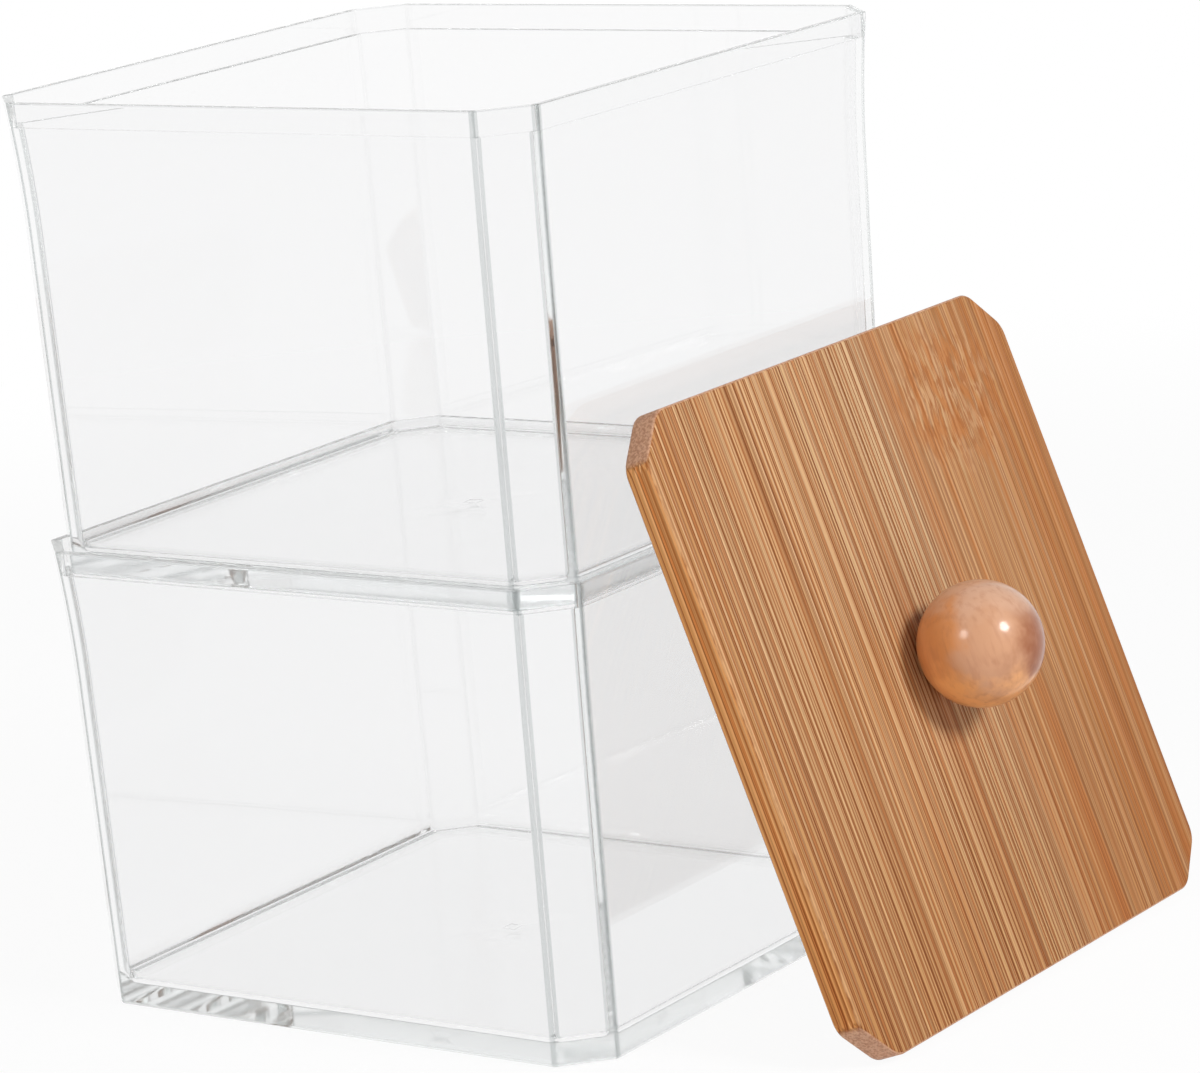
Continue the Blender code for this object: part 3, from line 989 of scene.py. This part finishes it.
    def middle(self, outline: Array, sign: float) -> Array:
        """Give the rings from a flat face's outline to its middle, with the gate's low ring round a dimple.

        Straight lines lead from the outline to a circle. Within it the height is that of a bell, the square
        of a cosine of the radius about the gate's radius, times the gate's height.

        Args:
            outline: The face's outer ring.
            sign: 1 where the face has the gate's mark and 0 where it is flat.

        Returns:
            Rings from just inside the outline to the middle.
        """
        angles = ring_angles(outline)
        circle = circle_rings(np.array([self.flow_radius]), outline[:1, 2], angles)[0]
        share = np.array([2 * self.hold / self.rim_width, 1 / 2, 1])[:, None, None]
        lead = outline * (1 - share) + circle * share
        ring = self.gate_radius + self.gate_ring * np.linspace(1, -1, self.gate_steps + 1)
        dimple = np.array([self.dimple_radius, 0.0])
        off = np.clip(np.abs(ring - self.gate_radius) / self.gate_ring, 0, 1)
        bell = np.cos(RIGHT_ANGLE * off) ** 2 * self.gate_height
        lift = np.append(bell, np.full(len(dimple), -self.gate_height / 2))
        gate = circle_rings(np.append(ring, dimple), outline[0, 2] + sign * lift, angles)
        return np.concatenate([lead, gate])

    def ledge_height(self) -> float:
        """Give the height of the ledge on which the next box stands."""
        return self.height - self.ledge_depth

    def mouth_half(self) -> float:
        """Give half the mouth's width: the base of the next box where it enters, and its clearance."""
        return float(self.outer_half(np.array(self.ledge_depth - self.seat_gap))) + self.nest_clearance

    def build(self, finish: Material) -> Piece:
        """Make the box, let it ride on its body and stand for its node.

        Args:
            finish: The plastic's material.

        Returns:
            The new piece.
        """
        outside = self.outside()
        inside = self.inside()
        under = self.middle(outside[0], 0.0)[::-1]
        floor = self.middle(inside[-1], 1.0)
        rings = np.concatenate([under, outside, self.rim(), inside, floor])
        rings = rings + np.array([0, 0, self.base])
        piece = skin(self.name, rings, Ends.POLES)
        # Painted shade on the front arrises, rim and base, kept as a point attribute
        paint_points(piece, ClearPlastic.painted_shade_attribute, self._painted_edge_shade(rings, len(under), len(floor)))
        paint_points(piece, ClearPlastic.matt_attribute, self._matt(rings, len(under), len(floor)))
        piece.data.materials.append(finish)
        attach(piece, self.body.value)
        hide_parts(self.node)
        return piece

    def _painted_edge_shade(self, rings: Array, under: int, floor: int) -> Array:
        """Give each point's share of the painted edge shade: full on the front's arrises, less round rim and
        base.

        Args:
            rings: The box's points.
            under: Count of rings on the underside.
            floor: Count of rings on the floor inside.

        Returns:
            One number for each point of the closed skin.
        """
        front = np.clip((-rings[:, :, 1] - self.front_start) / (self.front_end - self.front_start), 0, 1)
        share = front * arris_share(self.arc_steps)
        share[:under] = share[len(rings) - floor:] = 0
        height = rings[:, 0, 2] - self.base
        at_rim = height > self.height - self.rim_edge
        at_base = (height > 0) & (height < self.base_edge)
        share[at_rim] = np.maximum(share[at_rim], self.rim_painted_shade)
        share[at_base] = np.maximum(share[at_base], self.base_painted_shade)
        return np.concatenate([[0], share[1:-1].ravel(), [0]])

    def _matt(self, rings: Array, under: int, floor: int) -> Array:
        """Give each point's share of the matt finish: full on upright arrises, some underneath, else 0.

        Args:
            rings: The box's points.
            under: Count of rings on the underside.
            floor: Count of rings on the floor inside.

        Returns:
            One number for each point of the closed skin.
        """
        share = np.tile(arris_share(self.arc_steps), (len(rings), 1))
        share[:under] = self.under_matt
        share[len(rings) - floor:] = 0
        return np.concatenate([[self.under_matt], share[1:-1].ravel(), [0]])


@dataclass
class Lid:
    """The lid: a bamboo board, the smaller plug under it, and a ball knob held by a screw."""

    half: float = 51.6 * MM
    thickness: float = 4.8 * MM
    corner_leg: float = 6.8 * MM
    corner_radius: float = 4.0 * MM
    plug_corner_radius: float = 2.5 * MM
    edge: float = 0.5 * MM
    seat_gap: float = 0.3 * MM
    plug_half: float = 50.094 * MM
    plug_leg: float = 5.983 * MM
    plug_thickness: float = 5.0 * MM
    plug_land: float = 0.6 * MM
    plug_bevel: float = 5.6 * MM
    knob_radius: float = 9.99 * MM
    knob_foot_radius: float = 4.7 * MM
    foot_edge: float = 0.15 * MM
    bore_radius: float = 2.05 * MM
    head_bore_radius: float = 3.9 * MM
    head_edge: float = 0.3 * MM
    head_depth: float = 2.0 * MM
    screw_length: float = 20.0 * MM
    screw_clearance: float = 0.3 * MM
    tip_clearance: float = 1.0 * MM
    hold: float = 0.12 * MM
    arc_steps: int = 8
    edge_steps: int = 6
    knob_around: int = 128
    knob_steps: int = 64
    place: Matrix = field(default_factory=lambda: Lid.place_of_node("lid_board", "lid_lift"))

    @staticmethod
    def place_of_node(board: str, joint: str) -> Matrix:
        """Find the lid's own frame: X runs down the board, Z points out of it, and 0 is its underside.

        Args:
            board: The board's node, whose box gives the middle.
            joint: The joint whose axis stands square to the board.

        Returns:
            The matrix that carries the lid's frame to the row frame.
        """
        low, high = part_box(board)
        out = Vector(next(j["axis"] for j in frame["joints"] if j["name"] == joint)).normalized()
        across = Vector((0, 1, 0))
        down = across.cross(out)
        turn = Matrix((down, across, out)).transposed()
        middle = (low + high) / 2 - out * Lid.thickness / 2
        return Matrix.Translation(middle) @ turn.to_4x4()

    def knob_centre(self) -> float:
        """Give the height of the ball's centre, whose flat foot lies on the board."""
        return self.thickness + self.seat_gap + math.sqrt(self.knob_radius ** 2 - self.knob_foot_radius ** 2)

    def plug_back(self) -> float:
        """Give the height of the plug's back, below the board's underside."""
        return -self.seat_gap - self.plug_thickness

    def _rings(self, half: Array, leg: Array, radius: float, height: Array) -> Array:
        """Give octagonal rings whose corners have one radius."""
        return octagon_rings(half, leg, radius, height, self.arc_steps, self.hold)

    def _round_edge(self, half: float, leg: float, radius: float, face: float, up: bool) -> Array:
        """Give the rings of a quarter circle at a flat face, from the face to the side or the other way.

        Args:
            half: Half the width at the side.
            leg: Corner leg at the side.
            radius: Corner radius.
            face: Height of the flat face.
            up: True if the face looks up, so that the rings run from the side to the face.

        Returns:
            The rings, with one more inside the face that keeps it flat.
        """
        inward, drop = quarter(self.edge, self.edge_steps)
        inward = np.append(inward, self.edge + self.hold)
        drop = np.append(drop, 0.0)
        height = face - drop if up else face + drop
        rings = self._rings(half - inward, leg - LEG_LOSS_SHARE * inward, radius, height)
        return rings if up else rings[::-1]

    def _bore(self, rings: Array, radius: Array, height: Array) -> Array:
        """Add circles for a bore after the rings, halfway ones on both faces first.

        Args:
            rings: The outer rings, from the lower face to the upper one.
            radius: Radii down the bore.
            height: Heights down the bore.

        Returns:
            All rings of the closed loop.
        """
        circles = circle_rings(radius, height, ring_angles(rings[0]))
        upper = (rings[-1:] + circles[:1]) / 2
        lower = (rings[:1] + circles[-1:]) / 2
        return np.concatenate([rings, upper, circles, lower])

    def board(self, finish: Material) -> Piece:
        """Make the board with rounded edges and the screw's bore.

        Args:
            finish: The bamboo.

        Returns:
            The board.
        """
        outline = (self.half, self.corner_leg, self.corner_radius)
        lower = self._round_edge(*outline, 0.0, False)
        outer = np.concatenate([lower, self._round_edge(*outline, self.thickness, True)])
        depth = np.array([self.thickness, 0.0])
        rings = self._bore(outer, np.full(len(depth), self.bore_radius), depth)
        return self._finish_piece("lid_board_bamboo", rings, Ends.LOOP, finish, "lid_board", Slot.BAMBOO)

    def plug(self, finish: Material) -> Piece:
        """Make the plug: a rounded back, a straight bevel, a short land and the countersunk bore.

        Args:
            finish: The bamboo.

        Returns:
            The plug.
        """
        back = self.plug_back()
        tip_half = self.plug_half - self.plug_bevel
        tip_leg = self.plug_leg - LEG_LOSS_SHARE * self.plug_bevel
        lower = self._round_edge(tip_half, tip_leg, self.plug_corner_radius, back, False)
        top = -self.seat_gap
        height = np.array([top - self.plug_land, top - self.plug_land + self.hold, top, top])
        half = np.full(len(height), self.plug_half)
        half[-1] -= self.hold
        leg = np.full(len(height), self.plug_leg)
        outer = np.concatenate([lower, self._rings(half, leg, self.plug_corner_radius, height)])
        rim = back + self.head_edge + self.screw_clearance
        radius = np.array([self.bore_radius, self.bore_radius, self.head_bore_radius, self.head_bore_radius])
        rings = self._bore(outer, radius, np.array([top, rim + self.head_depth, rim, back]))
        return self._finish_piece("lid_plug_bamboo", rings, Ends.LOOP, finish, "lid_plug", Slot.BAMBOO)

    def knob(self, finish: Material) -> Piece:
        """Make the ball: a profile with the blind bore, the flat foot and the sphere, turned about the axis.

        Args:
            finish: The lacquered wood.

        Returns:
            The ball.
        """
        foot = self.thickness + self.seat_gap
        centre = self.knob_centre()
        bore_end = self.plug_back() + self.screw_length + self.tip_clearance
        start = math.asin(self.knob_foot_radius / self.knob_radius)
        angle = np.linspace(start, math.pi, self.knob_steps)
        flat = self.knob_foot_radius - self.foot_edge
        radius = np.append([0, self.bore_radius, self.bore_radius, flat], self.knob_radius * np.sin(angle))
        height = np.append([bore_end, bore_end, foot, foot], centre - self.knob_radius * np.cos(angle))
        angles = TURN * np.arange(self.knob_around) / self.knob_around
        rings = circle_rings(radius, height, angles)
        return self._finish_piece("turned_knob", rings, Ends.POLES, finish, "knob", Slot.KNOB_WOOD)

    def _finish_piece(self, name: str, rings: Array, ends: Ends, finish: Material, node: str,
                      slot: Slot) -> Piece:
        """Make a piece from rings in the lid's frame, dress it and let it stand for its node.

        Args:
            name: Name of the piece.
            rings: Points in the lid's own frame.
            ends: How the rings are closed.
            finish: The piece's material.
            node: The CAD node that it replaces.
            slot: The record's material slot. Not used.

        Returns:
            The new piece.
        """
        piece = skin(name, placed(rings, self.place), ends)
        piece.data.materials.append(finish)
        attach(piece, Body.LID.value)
        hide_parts(node)
        return piece

    def dress_screw(self, finish: Material) -> Piece:
        """Give the screw, whose shape is right as it is, its steel.

        Args:
            finish: The steel.

        Returns:
            The screw.
        """
        screw = frame["nodes"]["knob_screw"]
        screw.data.materials.clear()
        screw.data.materials.append(finish)
        return screw

    def build(self) -> list[Piece]:
        """Make and dress the lid's pieces.

        Returns:
            The pieces.
        """
        bamboo = Bamboo(self.place).material()
        ball = self.place @ Matrix.Translation((0, 0, self.knob_centre()))
        return [self.board(bamboo), self.plug(bamboo), self.knob(KnobWood(ball).material()),
                self.dress_screw(ZincSteel(self.place).material())]


@dataclass
class Camera:
    """The photographer's place and aim."""

    eye: tuple[float, float, float] = (0.49259, -0.64479, 0.25309)
    azimuth: float = math.radians(-36.0289)
    elevation: float = math.radians(12.9311)
    roll: float = math.radians(-4.9269)
    lens: float = 154.775
    sensor: float = 36.0
    near: float = 0.01
    far: float = 50.0

    def axes(self) -> tuple[Vector, Vector, Vector]:
        """Give the camera's right, up and forward directions.

        Returns:
            The three directions.
        """
        forward = Vector((math.sin(self.azimuth) * math.cos(self.elevation),
                          math.cos(self.azimuth) * math.cos(self.elevation), -math.sin(self.elevation)))
        level = forward.cross(Vector((0, 0, 1))).normalized()
        upright = level.cross(forward)
        cosine, sine = math.cos(self.roll), math.sin(self.roll)
        return level * cosine + upright * sine, upright * cosine - level * sine, forward

    def build(self) -> Piece:
        """Make the camera and give the scene to it.

        Returns:
            The camera.
        """
        data = bpy.data.cameras.new("photo_camera")
        data.lens = self.lens
        data.sensor_width = self.sensor
        data.clip_start = self.near
        data.clip_end = self.far
        camera = add_object("photo_camera", data)
        right, up, forward = self.axes()
        turn = Matrix((right, up, -forward)).transposed()
        camera.matrix_world = Matrix.Translation(self.eye) @ turn.to_4x4()
        bpy.context.scene.camera = camera
        return camera


@dataclass(frozen=True)
class Softbox:
    """A round lamp that faces the lid's knob from a direction in the camera's own axes."""

    name: str
    side: float
    up: float
    toward: float
    size: float
    watts: float
    distance: float = 0.9

    def build(self, camera: Camera, target: Vector) -> Piece:
        """Make the lamp.

        Args:
            camera: The camera whose axes give the direction.
            target: The point that the lamp faces.

        Returns:
            The lamp.
        """
        right, up, forward = camera.axes()
        direction = (right * self.side + up * self.up - forward * self.toward).normalized()
        data = bpy.data.lights.new(self.name, "AREA")
        data.shape = "DISK"
        data.size = self.size
        data.energy = self.watts
        lamp = add_object(self.name, data)
        lamp.rotation_mode = "QUATERNION"
        lamp.location = target + direction * self.distance
        lamp.rotation_quaternion = direction.to_track_quat("Z", "Y")
        lamp.visible_camera = False
        return lamp


@dataclass
class Studio:
    """A white floor that keeps a faint shadow, a white surround and two softboxes."""

    key: Softbox = Softbox("key_softbox", side=0.595, up=0.482, toward=0.643, size=0.26, watts=5.9)
    fill: Softbox = Softbox("fill_softbox", side=-0.560, up=0.294, toward=0.775, size=0.24, watts=1.9)
    floor_half: float = 8.0
    floor_lines: int = 3
    floor_drop: float = 0.25 * MM
    floor_color: Color = (0.9, 0.9, 0.9)
    # Share of its own shade that the floor keeps, by the distance from the stack
    shadow: Step = Step(0.30, 0.55, 0.06, 0.0)
    ambient: float = 0.29
    # Strength of the surround in clear and glossy surfaces, by the height of the ray
    overhead: Step = Step(0.15, 0.6, 1.0, 0.6)
    bounces: int = 80

    def build(self, camera: Camera, target: Vector) -> None:
        """Make the floor, the surround and the lamps.

        Args:
            camera: The camera whose axes place the lamps.
            target: The point that the lamps face.
        """
        scene = bpy.context.scene
        scene.view_settings.view_transform = "Standard"
        scene.cycles.max_bounces = self.bounces
        scene.cycles.transmission_bounces = self.bounces
        scene.cycles.glossy_bounces = self.bounces
        self._world(scene)
        self._floor()
        for lamp in (self.key, self.fill):
            lamp.build(camera, target)

    def _world(self, scene: bpy.types.Scene) -> None:
        """Make a surround that is white where it is seen, greyer overhead, and gives plain even light.

        Args:
            scene: The scene that gets it.
        """
        scene.world = bpy.data.worlds.new("white_surround")
        recipe = Recipe(scene.world, "ShaderNodeOutputWorld")
        height = recipe.node("ShaderNodeSeparateXYZ", {0: recipe.own_point("Generated")}).outputs[2]
        path = recipe.node("ShaderNodeLightPath").outputs
        bent = recipe.most(path["Is Glossy Ray"], path["Is Transmission Ray"])
        shown = recipe.most(recipe.times(bent, recipe.step(height, self.overhead)), path["Is Camera Ray"])
        sockets = {"Color": WHITE, "Strength": recipe.most(shown, self.ambient)}
        recipe.finish(recipe.node("ShaderNodeBackground", sockets).outputs[0])

    def _floor(self) -> None:
        """Make the floor, a flat grid of quads, white but for a share of its own shade near the object."""
        line = np.linspace(-self.floor_half, self.floor_half, self.floor_lines)
        x, y = np.meshgrid(line, line)
        points = np.stack([x, y, np.full(x.shape, -self.floor_drop)], axis=-1).reshape(-1, 3)
        index = np.arange(x.size).reshape(x.shape)
        quads = np.stack([index[:-1, :-1], index[:-1, 1:], index[1:, 1:], index[1:, :-1]], axis=-1)
        mesh = bpy.data.meshes.new("pale_floor")
        mesh.from_pydata(points.tolist(), [], quads.reshape(-1, 4).tolist())
        mesh.materials.append(self._floor_finish())
        floor = add_object("pale_floor", mesh)

    def _floor_finish(self) -> Material:
        """Mix the floor's own shade with plain white where the camera, gloss or clear plastic shows it.

        Returns:
            The floor's material.
        """
        recipe = Recipe.material("pale_floor")
        path = recipe.node("ShaderNodeLightPath").outputs
        seen = recipe.most(path["Is Camera Ray"], path["Is Glossy Ray"])
        seen = recipe.most(seen, path["Is Transmission Ray"])
        near = recipe.step(recipe.vector_math("LENGTH", recipe.own_point()), self.shadow)
        shade = recipe.node("ShaderNodeBsdfDiffuse", {"Color": self.floor_color}).outputs[0]
        glow = recipe.node("ShaderNodeEmission", {"Color": WHITE}).outputs[0]
        white = recipe.times(seen, recipe.less(1.0, near))
        return recipe.finish(recipe.node("ShaderNodeMixShader", {0: white, 1: shade, 2: glow}).outputs[0])


def main() -> None:
    """Build the boxes, the lid, the camera and the studio in turn."""
    logging.basicConfig(level=logging.INFO, format="%(name)s: %(message)s")
    plastic = ClearPlastic().material()
    lower = ClearBox("lower_box", "lower_box_clear", Body.LOWER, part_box("lower_box")[0].z)
    upper = ClearBox("upper_box", "upper_box_clear", Body.UPPER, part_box("upper_box")[0].z)
    lid = Lid()
    pieces = [lower.build(plastic), upper.build(plastic), *lid.build()]
    for piece in pieces:
        log.info("%s: %d faces", piece.name, len(piece.data.polygons))
    camera = Camera()
    camera.build()
    Studio().build(camera, lid.place @ Vector((0, 0, lid.thickness + lid.knob_radius)))


if __name__ == "__main__":
    main()
